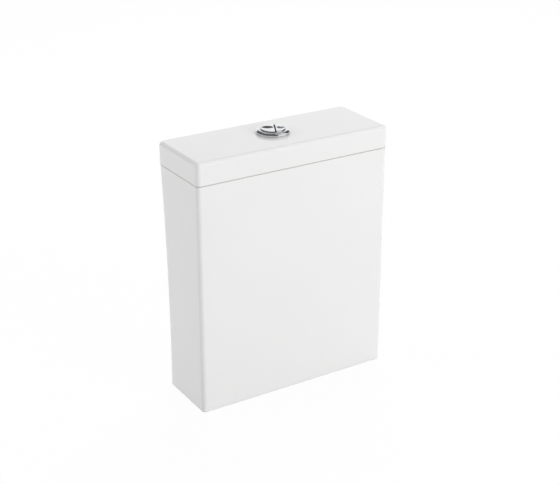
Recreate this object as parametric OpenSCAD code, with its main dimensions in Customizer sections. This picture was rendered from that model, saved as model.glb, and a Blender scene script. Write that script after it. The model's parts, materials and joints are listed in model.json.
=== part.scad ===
// Close-coupled toilet cistern: a china tank and lid, a two-key push button in the lid, a flush
// valve whose seal is lifted through racks and pinions, and a fill valve that enters through the floor.
// Millimetres, +Z up, front face at -Y, wall side at +Y, origin under the lid's centre at the tank's foot.

/* [China] */
// Width of the lid, the widest piece
lid_w = 360; // [350:1:400]
// Depth of the lid from its front to the wall
lid_d = 134; // [132:1:160]
// Height of the tank without its lid
tank_h = 400; // [380:1:425]
// Height of the lid
lid_h = 38; // [34:1:46]
// How far the lid stands proud of the tank all round
lid_overhang = 0.5; // [0.3:0.1:2]
// Thickness of the tank's walls
wall = 9; // [8:0.5:9.5]
// Radius of the upright corners at the front
front_r = 7; // [7:0.5:12]
// Radius of the upright corners at the back
back_corner_r = 11; // [7:0.5:14]
// Radius of the upright corners inside the tank and the lid
inner_r = 4; // [2:0.5:8]
// Room between the flush valve's widest ring and the back wall, which bows in below its rim
valve_room = 1; // [0.8:0.1:4]
// Height at which the back wall stands furthest in
back_apex_z = 100; // [60:5:140]
// Height of the open skirt under the floor
skirt_h = 36; // [34:1:44]
// Thickness of the floor
floor_t = 11; // [9:0.5:13]
// Small round on the foot and on both sides of the seam
edge_r = 1.5; // [0.5:0.1:2]

/* [Lid] */
// Thickness of the lid's top
lid_top_t = 10; // [8:0.5:12]
// Thickness of the lid's sides
lid_wall = 9; // [7:0.5:10]
// Round along the lid's top edge
lid_top_r = 6; // [3:0.5:7]
// Length of a locating lug under the lid
lug_l = 30; // [15:1:50]
// Thickness of a lug
lug_t = 6; // [4:0.5:9]
// How far a lug reaches down into the tank
lug_drop = 8; // [4:0.5:12]
// Distance of the front and back lugs from the middle
lug_x = 110; // [60:1:140]
// Room between a lug and the tank's wall
lug_gap = 2; // [1.5:0.1:4]

/* [Holes in the floor] */
// Radius of the outlet hole
outlet_hole_r = 32; // [31:0.5:34]
// Radius of the two holes for the bolts that hold the tank to the pan
bolt_hole_r = 6; // [4:0.5:8]
// Distance between those two holes
bolt_spacing = 150; // [130:1:165]
// Radius of the water inlet hole
inlet_hole_r = 11.5; // [11:0.1:13]

/* [Push button] */
// How far behind the lid's middle the button stands
button_y = 4.5; // [0:0.5:5]
// Clockwise turn of the split between the keys, seen from above
button_turn = 27; // [0:1:30]
// Radius of the hole in the lid
button_hole_r = 24; // [23.5:0.1:26]
// Radius of the chrome bezel
bezel_r = 28.5; // [28:0.5:34]
// Height of the bezel above its pad
bezel_h = 5; // [4:0.5:8]
// Round on the bezel's outer edge
bezel_round = 3.5; // [1:0.5:3.5]
// Thickness of the soft pad under the bezel
pad_t = 1; // [0.5:0.1:2]
// Bore of the sleeve, which the two keys fill
sleeve_r = 21; // [19.5:0.1:21.4]
// Thickness of the sleeve's wall
sleeve_t = 2; // [1.2:0.1:2]
// Length of the sleeve below the lid's top
sleeve_l = 34; // [30:1:37]
// Thickness of the plate that closes the sleeve
sleeve_plate_t = 3; // [2:0.5:4]
// Radius of the sleeve's flange under the bezel
sleeve_flange_r = 26; // [25:0.5:27]
// Thickness of that flange
sleeve_flange_t = 1.5; // [1:0.1:2]
// Outside radius of the nut under the lid
lid_nut_r = 31; // [28:0.5:36]
// Height of that nut
lid_nut_h = 11; // [6:0.5:14]
// Notches for the fingers round each large nut
nut_notches = 8; // [6:1:10]
// Radius of such a notch
nut_notch_r = 4.5; // [3.5:0.5:5]
// Distance of a notch's centre outside the nut
nut_notch_out = 2; // [1.5:0.5:3]
// Thickness of the plain rim above the notches
nut_rim_t = 2; // [1:0.5:3]
// Distance of the sleeve's drain holes from the middle
drain_x = 12.5; // [10:0.5:14]
// How far the split between the keys lies right of the middle
key_split_x = 3.5; // [0:0.1:4]
// Gap between the two keys
key_gap = 1; // [0.6:0.1:2]
// How far the keys stand above the bezel
key_proud = 1.5; // [0.5:0.1:3]
// Depth of a key's sides
key_depth = 20; // [16:0.5:22]
// Thickness of a key's sides
key_wall = 1.4; // [1:0.1:1.5]
// Thickness of a key's top
key_top_t = 3.5; // [3:0.1:4]
// Depth of the finger dimple in each key
dimple_depth = 1.4; // [0.5:0.1:2]
// Travel of a key
press = 9; // [6:0.5:10]
// Distance of each push rod from the middle
rod_x = 11; // [10.6:0.1:12]
// Radius of a push rod
rod_r = 2.5; // [2:0.1:2.6]
// Depth that a rod is screwed into its key
rod_hold = 11; // [6:0.5:13]
// Mean radius of a key's spring
spring_r = 4.5; // [4.4:0.1:4.6]
// Radius of the spring's wire
spring_wire_r = 0.6; // [0.4:0.05:0.65]
// Turns of the spring
spring_turns = 7; // [5:1:9]

/* [Flush valve] */
// Radius of the threaded outlet tail
tail_r = 29.8; // [29:0.1:30]
// Bore of the outlet
outlet_r = 25.5; // [24:0.1:26]
// Height of the tail's end above the foot
tail_end_z = 6; // [4:0.5:10]
// How far the flange on the floor stands out round the tower
flange_lip = 1.5; // [0.5:0.1:2]
// Thickness of that flange
flange_t = 5; // [3:0.5:7]
// Thickness of the washer under it
outlet_washer_t = 3; // [2:0.5:5]
// Height of the seat above the flange
seat_h = 4; // [3:0.5:6]
// Outside radius of the seat
seat_r = 29; // [28:0.1:30]
// Height of the bayonet posts that hold the tower
post_h = 14; // [10:0.5:20]
// Thickness of a post
post_t = 2.6; // [2:0.1:2.8]
// Outside radius of the nut under the floor
backnut_r = 37.5; // [36:0.5:38.5]
// Height of that nut
backnut_h = 12; // [8:0.5:14]
// Outside radius of the doughnut seal to the pan
gasket_r = 43.5; // [42:0.5:44]
// How much the doughnut narrows at its foot
gasket_taper = 4; // [1:0.5:5]
// Height of the doughnut's foot above the tank's foot
gasket_end_z = 3; // [2:0.5:5]
// How far the doughnut reaches up round the nut
gasket_lap = 9; // [5:0.5:10]
// Outside radius of the tower
tower_r = 40; // [39.8:0.1:41]
// Thickness of the tower's wall
tower_t = 3; // [2.5:0.1:3]
// Width of a tower window
window_w = 40; // [30:1:42]
// Height of the rings between rows of windows
ring_h = 12; // [8:1:16]
// Rows of windows
window_rows = 3; // [2:1:4]
// Distance of the tower's deck below the tank's rim
deck_drop = 76; // [74:1:90]
// Thickness of the deck
deck_t = 4; // [3:0.5:6]
// Radius of the deck's middle hole
deck_hole_r = 18; // [17.8:0.1:19]
// Outside radius of the overflow tube
tube_r = 16; // [14.5:0.1:16]
// Wall of the overflow tube
tube_t = 2.5; // [1.5:0.1:2.5]
// Outside radius of the tube's collars
collar_r = 22; // [20.5:0.1:23]
// Thickness of a collar
collar_t = 4; // [3:0.5:5]
// Distance of the upper collar below the tube's top
collar_drop = 34; // [30:1:45]
// Thickness of the rubber seal
seal_t = 3; // [2:0.5:4]
// Radius of the rubber seal
seal_r = 33; // [31:0.1:33.5]
// Thickness of the disc that carries the seal
disc_t = 5; // [3:0.5:7]
// Outside radius of the ring that clamps the seal
retainer_r = 20; // [18:0.5:22]
// Height of that ring
retainer_h = 5; // [4:0.5:8]
// Outside radius of the half-flush float
half_float_r = 30; // [26:0.5:34]
// Height of the half-flush float
half_float_h = 40; // [25:1:45]
// Outside radius of the full-flush float
full_float_r = 34; // [28:0.5:35]
// Height of the full-flush float
full_float_h = 55; // [40:1:60]
// Round on the edges of both floats
float_round = 4; // [1:0.5:5]

/* [Flush drive] */
// Module of the gear teeth
tooth_m = 1.5; // [1.4:0.01:1.5]
// Pressure angle of the teeth
tooth_angle = 30; // [28:1:32]
// Width of the pinions
pinion_w = 8; // [6:0.5:8]
// Radius of a pinion's axle
axle_r = 2.5; // [2:0.1:3]
// Width of the racks
rack_w = 9; // [8:0.5:9]
// Thickness of a rack behind its teeth
rack_back = 3.8; // [3.2:0.1:3.8]
// Thickness of the lifters' feet
foot_t = 6; // [4:0.5:8]
// Thickness of the drive frame's plates
plate_t = 3; // [2.5:0.1:3.5]
// Thickness of the hubs round the axle and the lever's pin
hub_t = 1.2; // [0.8:0.1:1.4]

/* [Fill valve] */
// Distance of the fill valve from the tank's inner end wall
fill_inset = 42.5; // [40:0.5:50]
// Distance of the fill valve in front of the outlet
fill_front = 6; // [0:0.5:10]
// Radius of the threaded inlet tail
inlet_r = 10.48; // [10:0.01:10.6]
// How much the shank is relieved above its thread
thread_relief = 0.3; // [0.2:0.05:0.5]
// Bore of the riser
riser_bore_r = 6.5; // [5:0.1:7]
// Outside radius of the riser
riser_r = 11; // [9.5:0.1:12]
// Radius of the shank's flange
shank_flange_r = 18; // [16:0.5:20]
// Thickness of that flange
shank_flange_t = 4; // [3:0.5:6]
// Thickness of the inlet washer
inlet_washer_t = 2.5; // [1.5:0.1:4]
// Height of the inlet nut
inlet_nut_h = 10; // [7:0.5:12]
// Width of the inlet nut across its flats
inlet_nut_af = 30; // [27:0.5:36]
// Distance of the riser's top below the tank's rim
riser_drop = 117; // [110:1:130]
// Height of the valve head
head_h = 30; // [26:1:32]
// Radius of the valve head
head_r = 18; // [17:0.1:19]
// Height of the cap on the head
cap_h = 12; // [9:0.5:14]
// How much wider the cap is than the head
cap_lip = 1.5; // [0.5:0.1:2]
// Radius of the rubber diaphragm
diaphragm_r = 15; // [12:0.5:15.5]
// Thickness of the diaphragm
diaphragm_t = 2.5; // [1.5:0.1:3]
// Notches round the cap
cap_notches = 16; // [12:1:20]
// Radius of a notch in the cap
cap_notch_r = 2; // [1.5:0.1:2.2]
// Distance of a notch's centre outside the cap
cap_notch_out = 0.8; // [0.6:0.1:1.2]
// Thickness of the cap's two ears
ear_t = 3; // [2.5:0.1:4]
// Radius of the ears round the pin
ear_r = 5; // [4:0.1:6]
// Height of the spout above the foot of the head
spout_drop = 6; // [4:0.5:8]
// Height of the spout
spout_h = 14; // [13:0.5:16]
// Thickness of the spout's wall
spout_t = 2; // [1.5:0.1:2.5]
// Depth of the hush tube's socket
socket_h = 8; // [6:0.5:9]
// Radius of the passage to the spout
passage_r = 2.5; // [2:0.1:2.6]
// Radius of the tube that leads the water down
hush_r = 6.5; // [5:0.1:7]
// Wall of that tube
hush_t = 1.5; // [1:0.1:2]
// Distance of that tube from the riser
hush_x = 25; // [23:0.5:27]
// Height of its open end above the floor
hush_gap = 28; // [20:1:60]
// Reach of the float lever from its pin to the adjusting screw
arm_l = 43; // [41:0.5:46]
// Half of the lever's swing, above and below level
arm_swing = 8; // [5:0.5:9]
// Width of the lever
arm_w = 10; // [8:0.5:10]
// Thickness of the lever
arm_t = 6; // [5:0.5:6]
// Length of the lever's heel beyond its pin
heel_l = 9; // [7:0.5:11]
// Thickness of the arm inside the clip
arm_neck_t = 3.4; // [3:0.1:3.6]
// Radius of the lever's pin
pin_r = 1.8; // [1.5:0.1:2]
// Distance of the pin from the middle of the cap
pin_offset = 5.8; // [5:0.1:7]
// How far the pin shows beyond each ear
pin_end = 1; // [0.5:0.1:2]
// Height of the pin above the cap
pin_h = 11; // [10:0.5:14]
// Radius of the adjusting screw
screw_r = 2.5; // [2:0.1:2.6]
// Radius of the screw's knob
knob_r = 6; // [5:0.1:7]
// Height of the knob
knob_h = 6; // [4:0.5:8]
// Notches round the knob
knob_notches = 8; // [6:1:10]
// Radius of a notch in the knob
knob_notch_r = 1.2; // [0.8:0.1:1.4]
// Thickness of the clip's jaws
clip_t = 2.5; // [2:0.1:3]
// Width of the clip on each side of the screw
clip_side = 3.5; // [3:0.1:4]
// Thickness of the collar that stops the screw under the clip
stop_t = 2; // [1.5:0.5:3]
// How much wider that collar is than the screw
stop_lip = 1.5; // [1:0.1:2]
// Distance of the float's top below the lever's end
float_drop = 40; // [36:0.5:50]
// Width of the float along the tank
float_w = 46; // [40:1:48]
// Depth of the float across the tank
float_d = 60; // [40:1:70]
// Height of the float
float_h = 60; // [50:1:70]
// Travel of the float along its screw each way
level_range = 6; // [4:0.5:8]
// Thickness of the float's guide ring
guide_t = 3; // [2:0.5:4]
// Height of the guide ring
guide_h = 9; // [6:0.5:12]
// Wall of the inlet filter
filter_t = 1.2; // [0.8:0.1:1.6]
// Plain length of the filter at each end
filter_end = 8; // [6:0.5:10]
// Height of a slit in the filter
slit_h = 5; // [3:0.5:6]
// Width of a slit
slit_w = 2; // [1:0.1:2.4]

/* [Fits] */
// Gap round fixed shafts and threads
fit_gap = 0.05; // [0.02:0.01:0.1]
// Gap beside sliding pieces
slide_gap = 0.4; // [0.3:0.05:0.5]
// Gap before one piece pushes another
push_gap = 0.3; // [0.2:0.05:0.5]
// Play between gear teeth along the pitch line
backlash = 0.3; // [0.2:0.05:0.4]
// Room that moving pieces keep beyond their travel
travel_room = 2; // [1:0.5:3]
// Plain land beside teeth and rods
land = 1; // [0.8:0.1:1]

/* [Hidden] */
$fn = 96;
over = 1;
china = "#f3f3f0";
chrome = "#c3c8cc";
white_plastic = "#eceeee";
grey_plastic = "#b9c0c6";
blue_plastic = "#3f78b5";
rubber = "#232427";
steel = "#9aa0a5";

// Tank levels and outline
tank_w = lid_w - 2 * lid_overhang;
front_y = -(lid_d / 2 - lid_overhang);
rim_back_y = lid_d / 2 - lid_overhang;
flange_r = tower_r + flange_lip;
apex_y = max(gasket_r, flange_r) + valve_room + wall;
back_sag = rim_back_y - apex_y;
back_r = (pow(tank_h - back_apex_z, 2) + pow(back_sag, 2)) / (2 * back_sag);
floor_z = skirt_h + floor_t;
lid_top_z = tank_h + lid_h;
lid_under_z = lid_top_z - lid_top_t;

// Push button levels
pad_z = lid_top_z + pad_t;
bezel_top_z = pad_z + bezel_h;
key_top_z = bezel_top_z + key_proud;
key_r = sleeve_r - slide_gap;
sleeve_end_z = lid_top_z - sleeve_l;
sleeve_out_r = sleeve_r + sleeve_t;
spring_foot_z = sleeve_end_z + sleeve_plate_t;
key_under_z = key_top_z - key_top_t;

// Gear and drive places, measured from the middle of the tank
pinion_teeth = 10;
addendum_share = 0.73;
dedendum_share = 0.97;
pitch_r = tooth_m * pinion_teeth / 2;
tooth_pitch = PI * tooth_m;
addendum = addendum_share * tooth_m;
dedendum = dedendum_share * tooth_m;
tip_r = pitch_r + addendum;
root_r = pitch_r - dedendum;
base_r = pitch_r * cos(tooth_angle);
rod_side = rod_r + land / 2;
push_pitch_x = rod_x + rod_side + land;
pinion_x = push_pitch_x + pitch_r;
lift_pitch_x = pinion_x + pitch_r;
lift_out_x = lift_pitch_x + dedendum + rack_back;
rack_reach = tooth_pitch;
plate_y = rack_w / 2 + slide_gap;

// Flush valve levels
base_z = floor_z + outlet_washer_t;
tower_z = base_z + flange_t;
seat_z = tower_z + seat_h;
post_r = tower_r - tower_t - slide_gap / 2;
spigot_r = tube_r - tube_t / 2;
disc_z = seat_z + seal_t;
stem_z = disc_z + disc_t;
deck_z = tank_h - deck_drop;
head_z = deck_z + deck_t;
pinion_z = head_z + plate_t + tip_r + 2 * slide_gap;
plunger_top_z = pinion_z + press + rack_reach + travel_room;
plunger_end_z = pinion_z - rack_reach - land;
frame_top_z = pinion_z + tip_r + slide_gap;
lift_top_z = pinion_z + rack_reach + land;
tube_top_z = deck_z - 2 * press - travel_room;
upper_collar_z = tube_top_z - collar_drop;
half_foot_z = upper_collar_z - push_gap - foot_t;
lower_collar_z = half_foot_z - press - travel_room - collar_t;
full_foot_z = lower_collar_z - push_gap - foot_t;
full_float_z = full_foot_z - full_float_h;
half_float_z = full_float_z - press - travel_room - half_float_h;
rod_tip_z = plunger_top_z + push_gap;
backnut_z = skirt_h - backnut_h;

// Fill valve levels
fill_x = tank_w / 2 - wall - fill_inset;
fill_y = -fill_front;
shank_z = floor_z + inlet_washer_t;
riser_top_z = tank_h - riser_drop;
cap_z = riser_top_z + head_h;
cap_r = head_r + cap_lip;
pin_z = cap_z + cap_h + pin_h;
pin_x = fill_x - pin_offset;
screw_x = pin_x - arm_l;
arm_end_z = pin_z - arm_l * sin(arm_swing);
arm_end_r = arm_t / 2;
clip_half = arm_end_r + push_gap;
ear_y = arm_w / 2 + slide_gap;
spout_z = riser_top_z + spout_drop;
float_top_z = arm_end_z - float_drop;
float_z = float_top_z - float_h;
float_x1 = screw_x + float_w / 2;
guide_z = float_z + float_h / 3;

// Rectangle with rounded corners: near_r at y0, far_r at y1, none where the radius is 0
module round_rect(x0, y0, x1, y1, near_r, far_r) {
    translate([x0, y0 + near_r]) square([x1 - x0, y1 - y0 - near_r - far_r]);
    if (near_r > 0) {
        translate([x0 + near_r, y0]) square([x1 - x0 - 2 * near_r, 2 * near_r]);
        for (x = [x0 + near_r, x1 - near_r]) translate([x, y0 + near_r]) circle(near_r);
    }
    if (far_r > 0) {
        translate([x0 + far_r, y1 - 2 * far_r]) square([x1 - x0 - 2 * far_r, 2 * far_r]);
        for (x = [x0 + far_r, x1 - far_r]) translate([x, y1 - far_r]) circle(far_r);
    }
}

// Straight ring between two radii and two heights
module ring(in_r, out_r, z0, z1) {
    translate([0, 0, z0]) difference() {
        cylinder(r = out_r, h = z1 - z0);
        translate([0, 0, -over]) cylinder(r = in_r, h = z1 - z0 + 2 * over);
    }
}

// Solid ring whose outer edges are rounded
module soft_ring(in_r, out_r, z0, z1, r) {
    rotate_extrude() intersection() {
        round_rect(0, z0, out_r, z1, r, r);
        translate([in_r, z0]) square([out_r - in_r, z1 - z0]);
    }
}

// The tank's bowed back, swept about a far axis behind the wall, with rounded back corners
module back_sweep(inset, r) {
    start = -asin((tank_h + 2 * wall - back_apex_z) / back_r);
    end = asin((back_apex_z + 2 * wall) / back_r);
    translate([0, apex_y + back_r, back_apex_z]) rotate([-90, 0, -90]) rotate([0, 0, start])
        rotate_extrude(angle = end - start, $fn = 1440)
            translate([back_r + inset, 0]) rotate(-90)
                round_rect(inset - tank_w / 2, 0, tank_w / 2 - inset, 2 * lid_d, r, 0);
}

// Upright form of the tank, inset from its outer face, between two heights
module tank_form(inset, near_r, far_r, z0, z1) {
    intersection() {
        translate([0, 0, z0]) linear_extrude(z1 - z0)
            round_rect(inset - tank_w / 2, front_y + inset, tank_w / 2 - inset, lid_d, near_r, 0);
        back_sweep(inset, far_r);
    }
}

// Block that rounds the long edges at its foot and at its top
module edge_block(w, y0, y1, z0, z1, foot_r, top_r) {
    rotate([90, 0, 0]) translate([0, 0, -y1]) linear_extrude(y1 - y0)
        round_rect(-w / 2, z0, w / 2, z1, foot_r, top_r);
}

module tank() {
    color(china) difference() {
        intersection() {
            tank_form(0, front_r, back_corner_r, 0, tank_h);
            edge_block(tank_w, front_y - over, lid_d, 0, tank_h, edge_r, edge_r);
            rotate([0, 0, 90]) edge_block(-2 * front_y, -tank_w, tank_w, 0, tank_h, edge_r, edge_r);
        }
        tank_form(wall, inner_r, inner_r, floor_z, tank_h + wall);
        tank_form(wall, inner_r, inner_r, -wall, skirt_h);
        translate([0, 0, skirt_h - over]) {
            cylinder(r = outlet_hole_r, h = floor_t + 2 * over);
            for (s = [-1, 1]) translate([s * bolt_spacing / 2, 0, 0])
                cylinder(r = bolt_hole_r, h = floor_t + 2 * over);
            translate([fill_x, fill_y, 0]) cylinder(r = inlet_hole_r, h = floor_t + 2 * over);
        }
    }
}

// Profile of the lid's rim from a corner's centre outwards: a small round below, a larger one on top
module rim_profile(r) {
    intersection() {
        union() {
            round_rect(-r, 0, r, lid_h / 2, edge_r, 0);
            round_rect(-r, lid_h / 2, r, lid_h, 0, lid_top_r);
        }
        square([r, lid_h]);
    }
}

// One straight side of the rim, running along X with its outside towards +Y
module rim_side(length, r) {
    translate([-length / 2, 0, 0]) rotate([90, 0, 90]) linear_extrude(length) rim_profile(r);
}

// The lid's outside: a flat middle with the rim's profile led round its four sides and corners
module lid_form() {
    front_c = [lid_w / 2 - front_r, front_r - lid_d / 2];
    back_c = [lid_w / 2 - back_corner_r, lid_d / 2 - back_corner_r];
    side_l = back_c.y - front_c.y;
    translate([-front_c.x, front_c.y, 0]) cube([2 * front_c.x, side_l, lid_h]);
    translate([0, front_c.y, 0]) rotate([0, 0, 180]) rim_side(2 * front_c.x, front_r);
    translate([0, back_c.y, 0]) rim_side(2 * back_c.x, back_corner_r);
    for (s = [-1, 1]) {
        translate([s * front_c.x, front_c.y + side_l / 2, 0]) rotate([0, 0, -s * 90])
            rim_side(side_l, front_r);
        translate([s * front_c.x, front_c.y, 0]) rotate([0, 0, s > 0 ? -90 : 180])
            rotate_extrude(angle = 90) rim_profile(front_r);
        translate([s * back_c.x, back_c.y, 0]) rotate([0, 0, s > 0 ? 0 : 90])
            rotate_extrude(angle = 90) rim_profile(back_corner_r);
    }
}

// One lug: a rib under the lid that drops inside the tank's rim, drawn for a wall at y = 0 behind it
module lug(wall_y) {
    hollow_h = lid_h - lid_top_t;
    translate([-lug_l / 2, -wall_y - lug_t, -lug_drop]) cube([lug_l, lug_t, lug_drop + hollow_h + over]);
    translate([-lug_l / 2, -wall_y - lug_t, edge_r + over])
        cube([lug_l, lug_t + wall_y + over, hollow_h - edge_r]);
}

// Moves a piece of the push button to its place in the lid
module at_button(turn = 0) {
    translate([0, button_y, 0]) rotate([0, 0, -turn]) children();
}

module lid() {
    lug_wall = lug_gap + wall + lid_overhang - lid_wall;
    color(china) translate([0, 0, tank_h]) difference() {
        union() {
            difference() {
                lid_form();
                translate([0, 0, -over]) linear_extrude(lid_h - lid_top_t + over)
                    round_rect(lid_wall - lid_w / 2, lid_wall - lid_d / 2,
                        lid_w / 2 - lid_wall, lid_d / 2 - lid_wall, inner_r, inner_r);
            }
            for (x = [-lug_x, lug_x], turn = [0, 180]) rotate([0, 0, turn])
                translate([x, lid_d / 2 - lid_wall, 0]) lug(lug_wall);
            for (turn = [90, 270]) rotate([0, 0, turn])
                translate([0, lid_w / 2 - lid_wall, 0]) lug(lug_wall);
        }
        at_button() cylinder(r = button_hole_r, h = 2 * lid_h);
    }
}

module bezel_pad() {
    color(rubber) at_button() ring(sleeve_out_r + slide_gap, bezel_r - over, lid_top_z, pad_z);
}

module button_bezel() {
    color(chrome) at_button() difference() {
        rotate_extrude() translate([0, pad_z]) intersection() {
            round_rect(-bezel_r, 0, bezel_r, bezel_h, 0, bezel_round);
            translate([sleeve_r, 0]) square([bezel_r, bezel_h]);
        }
        translate([0, 0, pad_z - over]) cylinder(r = sleeve_flange_r + fit_gap, h = over + sleeve_flange_t);
    }
}

module button_sleeve() {
    color(white_plastic) difference() {
        at_button() {
            ring(sleeve_r, sleeve_out_r, sleeve_end_z, pad_z + sleeve_flange_t);
            ring(sleeve_r, sleeve_flange_r, pad_z, pad_z + sleeve_flange_t);
            translate([0, 0, sleeve_end_z]) cylinder(r = sleeve_out_r, h = sleeve_plate_t);
        }
        for (s = [-1, 1]) translate([s * rod_x, 0, sleeve_end_z - over])
            cylinder(r = rod_r + slide_gap, h = sleeve_plate_t + 2 * over);
        at_button() for (a = [60, 120, 240, 300]) rotate([0, 0, a])
            translate([drain_x, 0, sleeve_end_z - over]) cylinder(r = rod_r, h = sleeve_plate_t + 2 * over);
    }
}

// Notches round an edge, cut upwards from a height
module notches(count, edge, out, r, z0, h) {
    for (n = [0 : count - 1]) rotate([0, 0, n * 360 / count])
        translate([edge + out, 0, z0]) cylinder(r = r, h = h);
}

// Large nut with finger notches below a plain rim
module large_nut(bore_r, out_r, z0, h) {
    difference() {
        ring(bore_r, out_r, z0, z0 + h);
        notches(nut_notches, out_r, nut_notch_out, nut_notch_r, z0 - over, h - nut_rim_t + over);
    }
}

module lid_nut() {
    color(white_plastic) at_button()
        large_nut(sleeve_out_r + fit_gap, lid_nut_r, lid_under_z - lid_nut_h, lid_nut_h);
}

// Outline of one key: the part of a disc on one side of the split
module key_outline(side, inset) {
    face_x = key_split_x + side * (key_gap / 2 + inset);
    intersection() {
        circle(key_r - inset);
        translate([side > 0 ? face_x : face_x - 2 * sleeve_r, -sleeve_r]) square(2 * sleeve_r);
    }
}

// One hollow chrome key with a finger dimple and a boss for its rod
module flush_key(side) {
    reach = key_r - side * key_split_x - key_gap / 2;
    dimple_x = side * (key_r - reach / 2);
    dimple_r = reach / 2 - key_wall;
    ball_r = (pow(dimple_r, 2) + pow(dimple_depth, 2)) / (2 * dimple_depth);
    boss_z = key_under_z - rod_hold;
    color(chrome) difference() {
        union() {
            at_button(button_turn) translate([0, 0, key_top_z - key_depth]) difference() {
                linear_extrude(key_depth) key_outline(side, 0);
                translate([0, 0, -over]) linear_extrude(key_depth - key_top_t + over)
                    key_outline(side, key_wall);
            }
            translate([side * rod_x, 0, boss_z]) cylinder(r = rod_r + land, h = rod_hold + over);
        }
        translate([side * rod_x, 0, boss_z - over]) cylinder(r = rod_r + fit_gap, h = rod_hold + over);
        at_button(button_turn) translate([dimple_x, 0, key_top_z - dimple_depth + ball_r])
            sphere(r = ball_r, $fn = 128);
    }
}

module full_flush_key() { flush_key(-1); }

module half_flush_key() { flush_key(1); }

module push_rod(side) {
    color(white_plastic) translate([side * rod_x, 0, rod_tip_z])
        cylinder(r = rod_r, h = key_under_z - rod_tip_z);
}

module full_push_rod() { push_rod(-1); }

module half_push_rod() { push_rod(1); }

// Spring: one tube swept up a helix, eight rings of six sides to a turn
spring_steps = spring_turns * 8;
spring_z0 = spring_foot_z + spring_wire_r + fit_gap;
spring_z1 = key_under_z - spring_wire_r - fit_gap;
function spring_axis(i) = [spring_r * cos(i * 45), spring_r * sin(i * 45),
    spring_z0 + (spring_z1 - spring_z0) * i / spring_steps];
function spring_ring(i) = [for (k = [0 : 5]) spring_axis(i)
    + spring_wire_r * (cos(k * 60) * [cos(i * 45), sin(i * 45), 0] + sin(k * 60) * [0, 0, 1])];
spring_least_gap = min([for (i = [0 : 7], j = [i + 5 : i + 12]) norm(spring_axis(j) - spring_axis(i))])
    - 2 * spring_wire_r;
echo(spring_least_gap = spring_least_gap);

module key_spring(side) {
    points = [for (i = [0 : spring_steps]) each spring_ring(i)];
    last = 6 * spring_steps;
    sides = [for (i = [0 : spring_steps - 1], k = [0 : 5]) each
        [[6 * i + k, 6 * i + (k + 1) % 6 + 6, 6 * i + (k + 1) % 6],
         [6 * i + k, 6 * i + k + 6, 6 * i + (k + 1) % 6 + 6]]];
    ends = [for (k = [1 : 4]) each [[0, k, k + 1], [last, last + k + 1, last + k]]];
    color(steel) translate([side * rod_x, 0, 0]) polyhedron(points, concat(sides, ends));
}

module full_key_spring() { key_spring(-1); }

module half_key_spring() { key_spring(1); }

module outlet_base() {
    color(white_plastic) {
        ring(outlet_r, tail_r, tail_end_z, tower_z);
        ring(outlet_r, flange_r, base_z, tower_z);
        ring(outlet_r, seat_r, base_z, seat_z);
        for (a = [0 : 90 : 270]) rotate([0, 0, a]) intersection() {
            ring(post_r - post_t, post_r, base_z, tower_z + post_h);
            translate([0, -tower_r / 4, base_z]) cube([tower_r, tower_r / 2, post_h + flange_t]);
        }
    }
}

module outlet_washer() {
    color(rubber) ring(tail_r + slide_gap, flange_r - over, floor_z, base_z);
}

module outlet_backnut() {
    color(white_plastic) large_nut(tail_r + fit_gap, backnut_r, backnut_z, backnut_h);
}

module pan_gasket() {
    bore_r = tail_r + slide_gap;
    step_z = backnut_z - slide_gap;
    top_z = backnut_z + gasket_lap;
    color(rubber) rotate_extrude() polygon([
        [bore_r, gasket_end_z], [gasket_r - gasket_taper, gasket_end_z],
        [gasket_r, gasket_end_z + 3 * gasket_taper], [gasket_r, top_z],
        [backnut_r + slide_gap, top_z], [backnut_r + slide_gap, step_z], [bore_r, step_z]]);
}

// Slots that let the lifters' racks rise through a plate
module rack_slots(z0, h) {
    in_x = lift_pitch_x - addendum - slide_gap;
    for (turn = [0, 180]) rotate([0, 0, turn]) translate([in_x, -plate_y, z0])
        cube([lift_out_x + slide_gap - in_x, 2 * plate_y, h]);
}

module valve_tower() {
    row_h = (deck_z - tower_z) / window_rows;
    color(grey_plastic) difference() {
        union() {
            ring(tower_r - tower_t, tower_r, tower_z, head_z);
            translate([0, 0, deck_z]) cylinder(r = tower_r, h = deck_t);
        }
        for (row = [0 : window_rows - 1], a = [45, 135]) rotate([0, 0, a])
            translate([-window_w / 2, -tower_r, tower_z + row * row_h - (row == 0 ? over : 0)])
                cube([window_w, 2 * tower_r, row_h - ring_h]);
        translate([0, 0, deck_z - over]) cylinder(r = deck_hole_r, h = deck_t + 2 * over);
        rack_slots(deck_z - over, deck_t + 2 * over);
    }
}

module drive_frame() {
    wall_x = lift_out_x + slide_gap;
    block_x = rod_x - rod_side - slide_gap;
    color(white_plastic) difference() {
        translate([-wall_x - plate_t, -plate_y - plate_t, head_z])
            cube([2 * (wall_x + plate_t), 2 * (plate_y + plate_t), frame_top_z - head_z]);
        difference() {
            translate([-wall_x, -plate_y, head_z + plate_t]) cube([2 * wall_x, 2 * plate_y, tank_h]);
            translate([-block_x, -plate_y, head_z]) cube([2 * block_x, 2 * plate_y, tank_h]);
        }
        rack_slots(head_z - over, plate_t + 2 * over);
        for (turn = [0, 180]) rotate([0, 0, turn]) {
            translate([block_x, -plate_y, head_z - over])
                cube([push_pitch_x + addendum + slide_gap - block_x, 2 * plate_y, plate_t + 2 * over]);
            translate([pinion_x, 0, pinion_z]) rotate([90, 0, 0])
                cylinder(r = axle_r + fit_gap, h = tank_h, center = true);
        }
    }
}

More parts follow.
